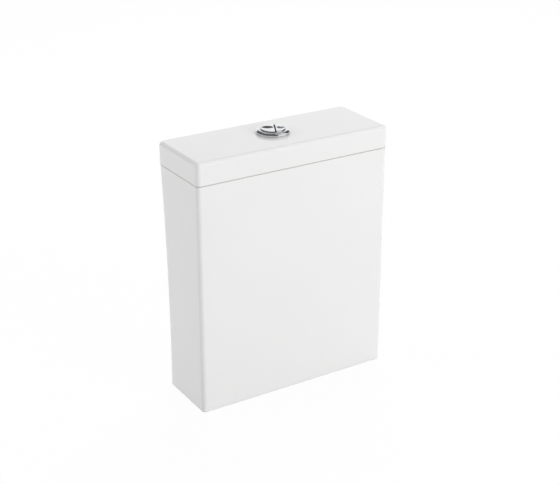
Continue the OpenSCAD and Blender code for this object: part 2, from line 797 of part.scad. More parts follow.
// Outline of a straight rack along Y, its teeth towards +X, the pitch line at x = 0 and a gap at y = 0
module rack_outline(below, above, back) {
    half = tooth_pitch / 4 - backlash / 4;
    tip = half - addendum * tan(tooth_angle);
    root = half + dedendum * tan(tooth_angle);
    translate([-dedendum - back, -below]) square([back, above + below]);
    for (k = [-ceil(below / tooth_pitch) : floor(above / tooth_pitch)])
        let (y = (k + 0.5) * tooth_pitch)
            if (y - root > -below && y + root < above)
                polygon([[-dedendum - over, y - root], [-dedendum, y - root], [addendum, y - tip],
                    [addendum, y + tip], [-dedendum, y + root], [-dedendum - over, y + root]]);
}

// A rack on the right-hand drive: standing along Z, its outline spread across the drive's width
module upright_rack(pitch_x, turn, below, above, back) {
    translate([pitch_x, 0, pinion_z]) rotate([90, 0, 0]) translate([0, 0, -rack_w / 2])
        linear_extrude(rack_w) scale([turn, 1]) rack_outline(below, above, back);
}

// Involute flank: the point and its angle where the flank's string has unwound by t radians
function flank_angle(t) = t * 180 / PI - atan(t);
function flank_point(t, turn) = base_r * sqrt(1 + t * t) * [cos(turn), sin(turn)];

module pinion_outline() {
    flank_steps = 5;
    t_tip = sqrt(pow(tip_r / base_r, 2) - 1);
    half = 90 / pinion_teeth - backlash / 4 / pitch_r * 180 / PI;
    half_base = half + flank_angle(tan(tooth_angle));
    polygon([for (n = [0 : pinion_teeth - 1]) let (c = n * 360 / pinion_teeth) each concat(
        [root_r * [cos(c - half_base), sin(c - half_base)]],
        [for (i = [0 : flank_steps]) let (t = t_tip * i / flank_steps)
            flank_point(t, c - half_base + flank_angle(t))],
        [for (i = [flank_steps : -1 : 0]) let (t = t_tip * i / flank_steps)
            flank_point(t, c + half_base - flank_angle(t))],
        [root_r * [cos(c + half_base), sin(c + half_base)]])]);
}

module pinion(side) {
    color(blue_plastic) translate([side * pinion_x, 0, pinion_z]) rotate([90, 0, 0]) {
        linear_extrude(pinion_w, center = true) pinion_outline();
        cylinder(r = axle_r, h = 2 * (plate_y + plate_t), center = true);
        cylinder(r = axle_r + hub_t, h = 2 * (plate_y - slide_gap / 2), center = true);
    }
}

module full_pinion() { pinion(-1); }

module half_pinion() { pinion(1); }

// Plunger: the rack that a push rod presses down
module plunger(side) {
    color(blue_plastic) rotate([0, 0, side > 0 ? 0 : 180])
        upright_rack(push_pitch_x, 1, pinion_z - plunger_end_z, plunger_top_z - pinion_z,
            push_pitch_x - dedendum - rod_x + rod_side);
}

module full_plunger() { plunger(-1); }

module half_plunger() { plunger(1); }

// Lifter: a rack that rises inside the tower, with a foot that reaches in under a collar of the tube
module lifter(foot_z, open) {
    in_r = tube_r + slide_gap;
    bar_x = lift_pitch_x + dedendum;
    upright_rack(lift_pitch_x, -1, press + rack_reach, lift_top_z - pinion_z, rack_back);
    translate([bar_x, -rack_w / 2, foot_z]) cube([rack_back, rack_w, lift_top_z - foot_z]);
    difference() {
        union() {
            translate([0, 0, foot_z]) cylinder(r = collar_r, h = foot_t);
            translate([0, -rack_w / 2, foot_z]) cube([bar_x + over, rack_w, foot_t]);
        }
        translate([0, 0, foot_z - over]) cylinder(r = in_r, h = foot_t + 2 * over);
        if (open) translate([-collar_r - over, -collar_r - over, foot_z - over])
            cube([collar_r + over, 2 * (collar_r + over), foot_t + 2 * over]);
    }
}

module full_lifter() { color(blue_plastic) rotate([0, 0, 180]) lifter(full_foot_z, false); }

module half_lifter() { color(white_plastic) lifter(half_foot_z, true); }

module full_flush_float() {
    color(white_plastic) soft_ring(tube_r + slide_gap, full_float_r, full_float_z, full_foot_z, float_round);
}

module half_flush_float() {
    color(blue_plastic) soft_ring(tube_r + fit_gap, half_float_r, half_float_z,
        half_float_z + half_float_h, float_round);
}

module overflow_tube() {
    bore_r = tube_r - tube_t;
    color(white_plastic) {
        ring(bore_r, tube_r, stem_z, tube_top_z);
        ring(bore_r, spigot_r, seat_z - retainer_h, stem_z + over);
        ring(bore_r, collar_r, lower_collar_z, lower_collar_z + collar_t);
        ring(bore_r, collar_r, upper_collar_z, upper_collar_z + collar_t);
    }
}

module seal_disc() {
    color(white_plastic) ring(spigot_r + fit_gap, seal_r - over, disc_z, stem_z);
}

module valve_seal() {
    color(rubber) ring(spigot_r + fit_gap, seal_r, seat_z, disc_z);
}

module seal_retainer() {
    color(grey_plastic) ring(spigot_r + fit_gap, retainer_r, seat_z - retainer_h, seat_z);
}

module fill_shank() {
    color(white_plastic) translate([fill_x, fill_y, 0]) {
        ring(riser_bore_r, inlet_r, tail_end_z, skirt_h - inlet_nut_h);
        ring(riser_bore_r, inlet_r - thread_relief, tail_end_z, shank_z + over);
        ring(riser_bore_r, shank_flange_r, shank_z, shank_z + shank_flange_t);
        ring(riser_bore_r, riser_r, shank_z, riser_top_z + head_h / 3);
    }
}

module inlet_washer() {
    color(rubber) translate([fill_x, fill_y, 0])
        ring(inlet_r + slide_gap, shank_flange_r - over, floor_z, shank_z);
}

module inlet_backnut() {
    color(white_plastic) translate([fill_x, fill_y, skirt_h - inlet_nut_h]) difference() {
        union() {
            cylinder(r = inlet_nut_af / sqrt(3), h = inlet_nut_h, $fn = 6);
            translate([0, 0, inlet_nut_h - nut_rim_t]) cylinder(r = inlet_nut_af / sqrt(3), h = nut_rim_t);
        }
        translate([0, 0, -over]) cylinder(r = inlet_r + fit_gap, h = inlet_nut_h + 2 * over);
    }
}

// Strainer pushed up the inlet: a capped tube with rows of slits
module inlet_filter() {
    filter_h = floor_z - tail_end_z - filter_end;
    filter_r = riser_bore_r - fit_gap;
    slit_rows = floor((filter_h - 2 * filter_end) / (slit_h + slit_w));
    color(blue_plastic) translate([fill_x, fill_y, tail_end_z]) difference() {
        cylinder(r = filter_r, h = filter_h);
        translate([0, 0, -over]) cylinder(r = filter_r - filter_t, h = filter_h);
        for (a = [0, 60, 120], row = [0 : slit_rows - 1]) rotate([0, 0, a])
            translate([-filter_r - over, -slit_w / 2, filter_end + row * (slit_h + slit_w)])
                cube([2 * (filter_r + over), slit_w, slit_h]);
    }
}

module fill_head() {
    passage_z = spout_z + (socket_h + spout_h) / 2;
    spout_r = hush_r + spout_t;
    color(white_plastic) translate([fill_x, fill_y, 0]) difference() {
        union() {
            translate([0, 0, riser_top_z]) cylinder(r = head_r, h = head_h);
            translate([0, -spout_r, spout_z]) cube([hush_x, 2 * spout_r, spout_h]);
            translate([hush_x, 0, spout_z]) cylinder(r = spout_r, h = spout_h);
        }
        translate([0, 0, riser_top_z - over]) cylinder(r = riser_r + fit_gap, h = head_h / 3 + over);
        translate([0, 0, riser_top_z]) cylinder(r = riser_bore_r, h = head_h);
        translate([0, 0, cap_z - diaphragm_t]) cylinder(r = diaphragm_r + fit_gap, h = head_h);
        translate([hush_x, 0, spout_z - over]) cylinder(r = hush_r + fit_gap, h = socket_h + over);
        translate([0, 0, passage_z]) rotate([0, 90, 0]) cylinder(r = passage_r, h = hush_x);
        translate([hush_x, 0, spout_z]) cylinder(r = hush_r - hush_t, h = passage_z - spout_z);
    }
}

module fill_cap() {
    color(grey_plastic) translate([fill_x, fill_y, cap_z]) difference() {
        union() {
            cylinder(r = cap_r, h = cap_h);
            for (s = [-1, 1]) translate([pin_x - fill_x, s * (ear_y + ear_t / 2), 0]) {
                translate([-ear_r, -ear_t / 2, cap_h - over]) cube([2 * ear_r, ear_t, pin_h + over]);
                translate([0, 0, cap_h + pin_h]) rotate([90, 0, 0])
                    cylinder(r = ear_r, h = ear_t, center = true);
            }
        }
        notches(cap_notches, cap_r, cap_notch_out, cap_notch_r, -over, cap_h - nut_rim_t + over);
        translate([pin_x - fill_x, 0, cap_h + pin_h]) rotate([90, 0, 0])
            cylinder(r = pin_r + fit_gap, h = 4 * cap_r, center = true);
    }
}

module diaphragm() {
    color(rubber) translate([fill_x, fill_y, cap_z - diaphragm_t])
        cylinder(r = diaphragm_r, h = diaphragm_t);
}

module hush_tube() {
    color(grey_plastic) translate([fill_x + hush_x, fill_y, 0])
        ring(hush_r - hush_t, hush_r, floor_z + hush_gap, spout_z + socket_h);
}

// Lever over the cap, drawn level about its pin and then dropped to its empty-tank stop
module float_lever() {
    slot = screw_r + slide_gap;
    slide_x = arm_l * (1 - cos(arm_swing)) + slide_gap;
    neck_l = screw_r + clip_side + land + slide_gap;
    color(blue_plastic) translate([pin_x, fill_y, pin_z]) rotate([0, -arm_swing, 0]) difference() {
        rotate([90, 0, 0]) {
            translate([neck_l - arm_l, -arm_end_r, -arm_w / 2]) cube([arm_l - neck_l + heel_l, arm_t, arm_w]);
            translate([-arm_l, -arm_neck_t / 2, -arm_w / 2]) cube([neck_l + over, arm_neck_t, arm_w]);
            translate([-arm_l, 0, 0]) cylinder(r = arm_end_r, h = arm_w, center = true);
            cylinder(r = arm_end_r + hub_t, h = arm_w, center = true);
        }
        rotate([90, 0, 0]) cylinder(r = pin_r + fit_gap, h = 2 * arm_w, center = true);
        translate([-arm_l, 0, -arm_t]) {
            translate([-arm_end_r - over, -slot, 0]) cube([arm_end_r + over + slide_x, 2 * slot, 2 * arm_t]);
            translate([slide_x, 0, 0]) cylinder(r = slot, h = 2 * arm_t);
        }
    }
}

module lever_pin() {
    pin_l = 2 * (ear_y + ear_t + pin_end);
    color(steel) translate([pin_x, fill_y, pin_z]) rotate([90, 0, 0])
        cylinder(r = pin_r, h = pin_l, center = true);
}

// Clip: a jaw that holds the lever's round end above and below, and carries the screw's neck
module screw_clip() {
    jaw = screw_r + clip_side;
    jaw_z = clip_half + clip_t;
    color(white_plastic) translate([screw_x, fill_y, arm_end_z]) difference() {
        translate([-jaw - clip_t, -jaw, -jaw_z]) cube([2 * jaw + clip_t, 2 * jaw, 2 * jaw_z]);
        translate([-jaw, -jaw - over, -clip_half]) cube([2 * jaw + over, 2 * (jaw + over), 2 * clip_half]);
        cylinder(r = screw_r + fit_gap, h = 2 * (jaw_z + over), center = true);
    }
}

module float_screw() {
    neck = clip_half + clip_t + push_gap;
    reach = float_drop + float_h / 2;
    color(blue_plastic) translate([screw_x, fill_y, arm_end_z]) {
        translate([0, 0, -reach]) cylinder(r = screw_r, h = reach + neck + over);
        translate([0, 0, neck]) difference() {
            cylinder(r = knob_r, h = knob_h);
            notches(knob_notches, knob_r, knob_notch_r / 3, knob_notch_r, -over, knob_h + 2 * over);
        }
        translate([0, 0, -neck - stop_t]) cylinder(r = screw_r + stop_lip, h = stop_t);
    }
}

module fill_float() {
    guide_r = riser_r + slide_gap;
    half_w = float_w / 2;
    half_d = float_d / 2;
    color(white_plastic) difference() {
        union() {
            translate([screw_x, fill_y, 0]) intersection() {
                translate([0, 0, float_z]) linear_extrude(float_h)
                    round_rect(-half_w, -half_d, half_w, half_d, float_round, float_round);
                edge_block(float_w, -float_d, float_d, float_z, float_top_z, float_round, float_round);
                rotate([0, 0, 90])
                    edge_block(float_d, -float_w, float_w, float_z, float_top_z, float_round, float_round);
            }
            translate([fill_x, fill_y, guide_z]) cylinder(r = guide_r + guide_t, h = guide_h);
            translate([float_x1 - over, fill_y - guide_t, guide_z])
                cube([fill_x - float_x1, 2 * guide_t, guide_h]);
        }
        translate([fill_x, fill_y, guide_z - over]) cylinder(r = guide_r, h = guide_h + 2 * over);
        translate([screw_x, fill_y, float_z + float_h / 2 - level_range - over])
            cylinder(r = screw_r + fit_gap, h = float_h);
    }
}

tank();
lid();
bezel_pad();
button_bezel();
button_sleeve();
lid_nut();
full_flush_key();
half_flush_key();
full_push_rod();
half_push_rod();
full_key_spring();
half_key_spring();
outlet_base();
outlet_washer();
outlet_backnut();
pan_gasket();
valve_tower();
drive_frame();
full_plunger();
half_plunger();
full_pinion();
half_pinion();
full_lifter();
half_lifter();
full_flush_float();
overflow_tube();
seal_disc();
valve_seal();
seal_retainer();
half_flush_float();
fill_shank();
inlet_washer();
inlet_backnut();
inlet_filter();
fill_head();
fill_cap();
diaphragm();
hush_tube();
float_lever();
lever_pin();
screw_clip();
float_screw();
fill_float();
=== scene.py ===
# %% [markdown]
# # A toilet cistern for a close-coupled pan
# The CAD model already holds every piece at its true size and place. This lesson dresses it: the china is
# modelled again with soft glazed edges, the push button gets turned chrome, the seals and springs get their
# real forms, and every piece gets a finish made of shader nodes.

# %% Load the frame
import json
import math

import bmesh
import bpy
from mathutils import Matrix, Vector


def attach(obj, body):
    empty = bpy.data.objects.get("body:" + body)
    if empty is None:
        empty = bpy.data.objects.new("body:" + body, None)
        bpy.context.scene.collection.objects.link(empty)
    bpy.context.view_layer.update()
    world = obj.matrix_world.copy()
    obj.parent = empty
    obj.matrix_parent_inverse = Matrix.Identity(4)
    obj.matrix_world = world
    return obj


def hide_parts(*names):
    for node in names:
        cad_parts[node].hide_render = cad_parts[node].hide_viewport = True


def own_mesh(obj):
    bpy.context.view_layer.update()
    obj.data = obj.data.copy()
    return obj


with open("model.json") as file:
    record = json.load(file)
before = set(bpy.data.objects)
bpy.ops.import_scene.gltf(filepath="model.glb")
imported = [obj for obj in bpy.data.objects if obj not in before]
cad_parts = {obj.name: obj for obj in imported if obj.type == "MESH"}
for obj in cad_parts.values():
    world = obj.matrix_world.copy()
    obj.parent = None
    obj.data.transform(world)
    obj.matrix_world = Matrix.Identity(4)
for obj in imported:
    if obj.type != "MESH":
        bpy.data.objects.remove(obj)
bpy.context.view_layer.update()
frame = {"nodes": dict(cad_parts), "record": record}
NODES = frame["nodes"]
MM = 0.001

# %% [markdown]
# ## Camera
# The picture was taken from the left, a little above the lid, with a long lens. The place and the lens were
# worked out from the corners of the lid and of the foot, so the outlines agree to about a pixel.

# %% Camera
CAMERA_PLACE = (-1.01942, -1.65449, 1.08925)
CAMERA_TURN, CAMERA_DROP = -31.912, 23.506
SENSOR_WIDTH, FOCAL_LENGTH, FARTHEST = 36.0, 80.56, 50.0
lens = bpy.data.cameras.new("camera")
lens.sensor_width = SENSOR_WIDTH
lens.lens = FOCAL_LENGTH
lens.clip_end = FARTHEST
camera = bpy.data.objects.new("camera", lens)
camera.location = CAMERA_PLACE
camera.rotation_euler = (math.radians(90 - CAMERA_DROP), 0, math.radians(CAMERA_TURN))
bpy.context.scene.collection.objects.link(camera)
bpy.context.scene.camera = camera
print("camera at", CAMERA_PLACE)

# %% [markdown]
# ## Finishes
# A finish is a small network of nodes. Writing it node by node hides the idea, so one class wraps a socket
# and lets it be added and multiplied like a number. The other class owns the material and makes any other
# node.


# %% Socket arithmetic
class Value:
    """One output socket, used in sums as if it were a number."""

    def __init__(self, finish, socket):
        self.finish = finish
        self.socket = socket

    def math(self, operation, first, second):
        return self.finish.node("ShaderNodeMath", {"operation": operation}, {0: first, 1: second})

    def __add__(self, other):
        return self.math("ADD", self, other)

    __radd__ = __add__

    def __sub__(self, other):
        return self.math("SUBTRACT", self, other)

    def __rsub__(self, other):
        return self.math("SUBTRACT", other, self)

    def __mul__(self, other):
        return self.math("MULTIPLY", self, other)

    __rmul__ = __mul__


print("sockets can be added, subtracted and multiplied")


# %% A finish and its nodes
class Finish:
    """A material whose nodes are made by one method."""

    def __init__(self, name, **constants):
        self.material = bpy.data.materials.new(name)
        self.material.use_nodes = True
        self.tree = self.material.node_tree
        self.shader = self.tree.nodes["Principled BSDF"]
        self.feed(self.shader, constants)

    def feed(self, node, sockets):
        """Link each socket to a value, or set it where the value is plain."""
        for key, value in sockets.items():
            socket = node.inputs[key.replace("_", " ") if isinstance(key, str) else key]
            if isinstance(value, Value):
                self.tree.links.new(value.socket, socket)
            else:
                socket.default_value = value

    def node(self, kind, settings=None, sockets=None, out=0):
        """Make a node and give back one of its outputs."""
        made = self.tree.nodes.new(kind)
        for key, value in (settings or {}).items():
            setattr(made, key, value)
        self.feed(made, sockets or {})
        return Value(self, made.outputs[out])

    def place(self):
        return self.node("ShaderNodeTexCoord", out="Object")

    def height(self):
        return self.node("ShaderNodeSeparateXYZ", None, {0: self.place()}, "Z")

    def noise(self, scale, detail=2.0, rough=0.5, stretch=(1, 1, 1)):
        where = self.node("ShaderNodeMapping", None, {"Vector": self.place(), "Scale": stretch})
        return self.node("ShaderNodeTexNoise", None, {
            "Vector": where, "Scale": scale, "Detail": detail, "Roughness": rough}, "Fac")

    def step(self, value, start, end):
        return self.node("ShaderNodeMapRange", {"interpolation_type": "SMOOTHSTEP"},
                         {"Value": value, "From Min": start, "From Max": end})

    def mix(self, factor, first, second):
        """Blend two colours, which a Mix node takes at sockets 6 and 7 and gives at its output 2."""
        return self.node("ShaderNodeMix", {"data_type": "RGBA"}, {0: factor, 6: first, 7: second}, 2)

    def bump(self, height, strength, distance):
        return self.node("ShaderNodeBump", None,
                         {"Height": height, "Strength": strength, "Distance": distance})

    def ray(self, kind):
        return self.node("ShaderNodeLightPath", out=f"Is {kind} Ray")

    def surface(self, **varying):
        self.feed(self.shader, varying)


print("finishes can be made")

# %% [markdown]
# Glazed china is white clay under a layer of glass. The glass pulls into very slow waves, so straight
# reflections wander a little. Where the tank stands and where the lid rests, the glaze is wiped off before
# firing and the dull clay shows: that is a band on the height of the point. The clay is painted a grey darker
# than real clay, so the band under the lid is also painted shade in the joint; the same grey shows at the
# foot.

# %% Glazed china
FOOT_Z, RIM_Z, BARE_AND_SHADE_BAND = 0.0, 0.400, 0.0013
china = Finish("glazed_china", IOR=1.5, Coat_Roughness=0.06)
tone = china.noise(7.0)
fine = china.noise(420.0, 3.0)
waves = china.noise(16.0, 1.0)
height = china.height()
# Bands of bare clay at the foot and under the lid, which also carry the painted shade of the joint
bare_foot = 1 - china.step(height, FOOT_Z + 0.5 * BARE_AND_SHADE_BAND, FOOT_Z + BARE_AND_SHADE_BAND)
below_rim = china.step(height, RIM_Z - BARE_AND_SHADE_BAND, RIM_Z - 0.6 * BARE_AND_SHADE_BAND)
above_rim = china.step(height, RIM_Z + 0.6 * BARE_AND_SHADE_BAND, RIM_Z + BARE_AND_SHADE_BAND)
bare_and_joint_shade = bare_foot + (below_rim - above_rim)
glaze_colour = china.mix(tone, (0.875, 0.878, 0.872, 1), (0.900, 0.902, 0.898, 1))
# Painted shade: this clay grey is darker than real clay, so that the band under the lid stands for the shade
# in the joint
clay_and_joint_shade_colour = china.mix(fine, (0.60, 0.595, 0.585, 1), (0.70, 0.695, 0.68, 1))
china.surface(
    Base_Color=china.mix(bare_and_joint_shade, glaze_colour, clay_and_joint_shade_colour),
    Roughness=0.13 + 0.05 * fine + 0.55 * bare_and_joint_shade,
    Coat_Weight=0.35 * (1 - bare_and_joint_shade),
    Normal=china.bump(waves + 0.02 * fine, 0.18, 0.0016))
print("china finish:", len(china.tree.nodes), "nodes")

# %% [markdown]
# Chrome is a mirror with a faint blue. Handling leaves it slightly cloudy in patches, which is a low noise in
# the roughness. The springs are drawn wire, so their noise is stretched along the height.

# %% Chrome and steel
chrome = Finish("polished_chrome", Metallic=1.0)
cloud = chrome.noise(55.0, 4.0, 0.6)
chrome.surface(
    Base_Color=chrome.mix(cloud, (0.78, 0.79, 0.81, 1), (0.84, 0.85, 0.87, 1)),
    Roughness=0.035 + 0.07 * cloud * cloud)

steel = Finish("drawn_steel", Metallic=1.0)
drawn = steel.noise(900.0, 3.0, 0.6, (1, 1, 0.08))
steel.surface(
    Base_Color=steel.mix(drawn, (0.52, 0.54, 0.56, 1), (0.66, 0.67, 0.69, 1)),
    Roughness=0.24 + 0.18 * drawn)
print("metals:", chrome.material.name, steel.material.name)

# %% [markdown]
# Moulded plastic is never one flat tone: it has slow flow marks and a fine spark-eroded grain. Rubber is
# moulded too, so it is the same finish with a rougher grain.


# %% Plastics and rubber
def moulded(name, low, high, rough, grain):
    """Plastic between two tones, with flow marks in its colour and a grain in its surface."""
    finish = Finish(name, IOR=1.48)
    flow = finish.noise(28.0, 3.0, 0.55, (1, 1, 0.35))
    spark = finish.noise(1900.0, 2.0)
    finish.surface(
        Base_Color=finish.mix(flow, (*low, 1), (*high, 1)),
        Roughness=rough + 0.12 * spark,
        Normal=finish.bump(spark, grain, 0.00012))
    return finish


FINISHES = {
    "china": china,
    "chrome": chrome,
    "steel": steel,
    "rubber": moulded("black_rubber", (0.018, 0.018, 0.019), (0.034, 0.034, 0.035), 0.62, 0.55),
    "white_plastic": moulded("white_moulding", (0.80, 0.81, 0.80), (0.87, 0.88, 0.875), 0.36, 0.25),
    "grey_plastic": moulded("grey_moulding", (0.42, 0.46, 0.49), (0.50, 0.54, 0.57), 0.40, 0.30),
    "blue_plastic": moulded("blue_moulding", (0.045, 0.165, 0.40), (0.07, 0.22, 0.49), 0.36, 0.25),
}
print("finishes:", ", ".join(FINISHES))

# %% [markdown]
# Every CAD node takes the finish of its material slot in the record. The pieces that are modelled below then
# replace most of these nodes.

# %% Finish the CAD nodes
SLOT_OF = {part["node"]: part["material_slot"] for part in frame["record"]["subparts"]}
BODIES = frame["record"]["behaviour"]["bodies"]
BODY_OF = {node: body for body, nodes in BODIES.items() for node in nodes}


def coat(piece, slot):
    """Give a piece the finish of a slot and nothing else."""
    piece.data.materials.clear()
    piece.data.materials.append(FINISHES[slot].material)


for node, slot in SLOT_OF.items():
    coat(NODES[node], slot)
print("finished", len(SLOT_OF), "nodes")

# %% [markdown]
# ## Tools of the bench
# Each piece starts as a primitive, is cut and rounded in edit mode, and is finished with modifiers. These few
# helpers only save typing: they start a primitive, pick edges or faces by place, and apply a modifier.


# %% Start and edit a piece
def alone(piece):
    bpy.ops.object.select_all(action="DESELECT")
    piece.select_set(True)
    bpy.context.view_layer.objects.active = piece


def start(name, add, **sizes):
    """Add one primitive with nothing else selected, and bring its place into its mesh."""
    bpy.ops.object.select_all(action="DESELECT")
    add(**sizes)
    piece = bpy.context.object
    piece.name = piece.data.name = name
    bpy.ops.object.transform_apply(location=True, rotation=True, scale=True)
    return piece


def edit(piece):
    alone(piece)
    bpy.ops.object.mode_set(mode="EDIT")
    bpy.ops.mesh.select_all(action="DESELECT")


def done():
    bpy.ops.object.mode_set(mode="OBJECT")


print("pieces can be started and edited")

# %% Pick by place
NEAR, MERGE = 1e-5, 2e-6


def pick(piece, kind, test):
    """Select the vertices, edges or faces that pass the test, in edit mode."""
    bpy.ops.mesh.select_mode(type=kind)
    bpy.ops.mesh.select_all(action="DESELECT")
    mesh = bmesh.from_edit_mesh(piece.data)
    for element in {"VERT": mesh.verts, "EDGE": mesh.edges, "FACE": mesh.faces}[kind]:
        if test(element):
            element.select_set(True)
    mesh.select_flush_mode()
    bmesh.update_edit_mesh(piece.data)


def middle(edge):
    return (edge.verts[0].co + edge.verts[1].co) / 2


def upright(edge):
    run = edge.verts[1].co - edge.verts[0].co
    return abs(run.z) > 0.99 * run.length


def level_at(z):
    """Test for edges that lie at a height."""
    return lambda edge: all(abs(v.co.z - z) < NEAR for v in edge.verts)


def round_edges(piece, test, radius, segments):
    """Bevel the edges that pass the test, in edit mode."""
    pick(piece, "EDGE", test)
    bpy.ops.mesh.bevel(offset=radius, segments=segments, affect="EDGES", clamp_overlap=False)


def cut_level(z):
    """Divide the piece in edit mode by a level plane."""
    bpy.ops.mesh.select_all(action="SELECT")
    bpy.ops.mesh.bisect(plane_co=(0, 0, z), plane_no=(0, 0, 1))


print("points count as the same within", MERGE / MM, "mm")


# %% Modifiers
def modify(piece, kind, **settings):
    """Add a modifier and apply it."""
    alone(piece)
    modifier = piece.modifiers.new(kind.lower(), kind)
    for key, value in settings.items():
        setattr(modifier, key, value)
    bpy.ops.object.modifier_apply(modifier=modifier.name)


def combine(piece, other, operation):
    """Cut another piece out of this one, or weld it on, and throw the other away."""
    modify(piece, "BOOLEAN", object=other, operation=operation, solver="EXACT")
    bpy.data.objects.remove(other)


def smooth(piece, angle):
    """Shade smooth, apart from the edges that are sharper than an angle."""
    alone(piece)
    bpy.ops.object.shade_smooth_by_angle(angle=math.radians(angle))


def soften(piece, width, segments=3, angle=40.0):
    """Round the sharp edges a little and let the flat faces keep flat normals."""
    modify(piece, "BEVEL", width=width, segments=segments, limit_method="ANGLE",
           angle_limit=math.radians(angle), use_clamp_overlap=False)
    smooth(piece, angle)
    modify(piece, "WEIGHTED_NORMAL", keep_sharp=True)


def stand_for(piece, *nodes):
    """Ride, replace and coat as the CAD nodes that this piece stands for."""
    coat(piece, SLOT_OF[nodes[0]])
    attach(piece, BODY_OF[nodes[0]])
    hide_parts(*nodes)
    print(piece.name, "stands for", ", ".join(nodes), "with", len(piece.data.polygons), "faces")


print("bench ready")

# %% [markdown]
# ## Tank
# The tank is a slab-sided box with small upright corners, and its back bows in below the rim. A block is cut
# into levels, its back is pushed in level by level, and two more blocks of the same kind are cut out of it:
# the water space and the open skirt under the floor. A solidified sheet would be quicker, but its floor and
# its skirt would need a second piece.

# %% A block with a bowed back
TANK_W, FRONT_Y, BACK_Y, TANK_H = 0.359, -0.0665, 0.0665, 0.400
BACK_SAG, BACK_LOW_Z, WALL = 0.013, 0.100, 0.009
BACK_R = ((TANK_H - BACK_LOW_Z) ** 2 + BACK_SAG ** 2) / (2 * BACK_SAG)
FRONT_R, REAR_R, INNER_R = 0.007, 0.011, 0.004
LEVELS = 25


def slab(name, x0, x1, y0, y1, z0, z1, front_r, rear_r, segments=7):
    """A block whose upright edges are rounded, by one radius in front and another behind."""
    block = start(name, bpy.ops.mesh.primitive_cube_add, size=1, scale=(x1 - x0, y1 - y0, z1 - z0),
                  location=((x0 + x1) / 2, (y0 + y1) / 2, (z0 + z1) / 2))
    edit(block)
    mid_y = (y0 + y1) / 2
    for radius, behind in ((front_r, False), (rear_r, True)):
        round_edges(block, lambda e: upright(e) and (middle(e).y > mid_y) == behind, radius, segments)
    done()
    return block


def bowed(name, inset, z0, z1, front_r, rear_r):
    """A slab as wide and deep as the tank less an inset, with the back wall's bow."""
    block = slab(name, inset - TANK_W / 2, TANK_W / 2 - inset, FRONT_Y + inset, BACK_Y - inset, z0, z1,
                 front_r, rear_r)
    heights = [z0 + (z1 - z0) * i / LEVELS for i in range(LEVELS + 1)]
    edit(block)
    for z in heights[1:-1]:
        cut_level(z)
    centre_y = BACK_Y - BACK_SAG + BACK_R
    for z in heights:
        bow_y = centre_y - math.sqrt((BACK_R + inset) ** 2 - (z - BACK_LOW_Z) ** 2)
        pick(block, "VERT", lambda v: v.co.y > 0 and abs(v.co.z - z) < NEAR)
        bpy.ops.transform.translate(value=(0, bow_y - (BACK_Y - inset), 0))
    done()
    return block


china_tank = bowed("china_tank", 0, 0, TANK_H, FRONT_R, REAR_R)
print("tank block:", len(china_tank.data.vertices), "points")

# %% Hollow the tank
SKIRT_H, FLOOR_Z, TANK_EDGE = 0.036, 0.047, 0.0015
BOLT_X, INLET_X, INLET_Y, BIT_LENGTH = 0.075, 0.128, -0.006, 0.030
# Radius and place of the outlet, the two bolt holes and the inlet
HOLES = [(0.032, 0, 0), (0.006, -BOLT_X, 0), (0.006, BOLT_X, 0), (0.0115, INLET_X, INLET_Y)]


def bore(piece, radius, place, sides):
    """Cut an upright round hole."""
    bit = start("bit", bpy.ops.mesh.primitive_cylinder_add, vertices=sides, radius=radius, depth=BIT_LENGTH,
                location=place)
    combine(piece, bit, "DIFFERENCE")


combine(china_tank, bowed("water_space", WALL, FLOOR_Z, TANK_H + WALL, INNER_R, INNER_R), "DIFFERENCE")
combine(china_tank, bowed("skirt_space", WALL, -WALL, SKIRT_H, INNER_R, INNER_R), "DIFFERENCE")
for radius, x, y in HOLES:
    bore(china_tank, radius, (x, y, (SKIRT_H + FLOOR_Z) / 2), 64)
soften(china_tank, TANK_EDGE, 4)
stand_for(china_tank, "tank")

# %% [markdown]
# ## Lid
# The lid is a shallow tray turned over. Its top edge has a larger round than its lower edge, so the two are
# bevelled one after the other. Lugs under it drop inside the tank's rim and stop it from sliding; one lug is
# modelled, and copies of it are turned to the other places before they are welded on.

# %% Lid body
LID_W, LID_D, LID_H, LID_TOP, LID_WALL = 0.360, 0.134, 0.038, 0.010, 0.009
LID_TOP_ROUND, LID_LOW_ROUND = 0.006, 0.0015
LID_Z = TANK_H + LID_H
half_w, half_d = LID_W / 2, LID_D / 2
china_lid = slab("china_lid", -half_w, half_w, -half_d, half_d, TANK_H, LID_Z, FRONT_R, REAR_R, 9)
edit(china_lid)
round_edges(china_lid, level_at(LID_Z), LID_TOP_ROUND, 9)
round_edges(china_lid, level_at(TANK_H), LID_LOW_ROUND, 4)
done()
hollow = slab("lid_space", LID_WALL - half_w, half_w - LID_WALL, LID_WALL - half_d, half_d - LID_WALL,
              TANK_H - LID_WALL, LID_Z - LID_TOP, INNER_R, INNER_R)
combine(china_lid, hollow, "DIFFERENCE")
print("lid tray:", len(china_lid.data.polygons), "faces")

# %% One lug
LUG_L, LUG_T, LUG_DROP, LUG_BACK, LUG_STEP = 0.030, 0.006, 0.008, 0.0025, 0.0025
WELD = 0.001
lug_foot_z, lug_step_z, lug_top_z = TANK_H - LUG_DROP, TANK_H + LUG_STEP, LID_Z - LID_TOP + WELD
lug_face_y = LID_D / 2 - LID_WALL - LUG_BACK
first_lug = start("lug", bpy.ops.mesh.primitive_cube_add, size=1,
                  scale=(LUG_L, LUG_T, lug_top_z - lug_foot_z),
                  location=(0, lug_face_y - LUG_T / 2, (lug_top_z + lug_foot_z) / 2))
edit(first_lug)
cut_level(lug_step_z)
pick(first_lug, "FACE", lambda f: f.normal.y > 0.9 and f.calc_center_median().z > lug_step_z)
bpy.ops.mesh.extrude_region_move(TRANSFORM_OT_translate={"value": (0, LUG_BACK + WELD, 0)})
done()
print("lug reaches", round((TANK_H - lug_foot_z) / MM, 1), "mm below the rim")

# %% Weld the lugs on and bore the button hole
BUTTON_Y, BUTTON_HOLE_R, LID_EDGE = 0.0045, 0.024, 0.0010
LUG_ALONG, END_SHIFT = 0.110, (LID_W - LID_D) / 2
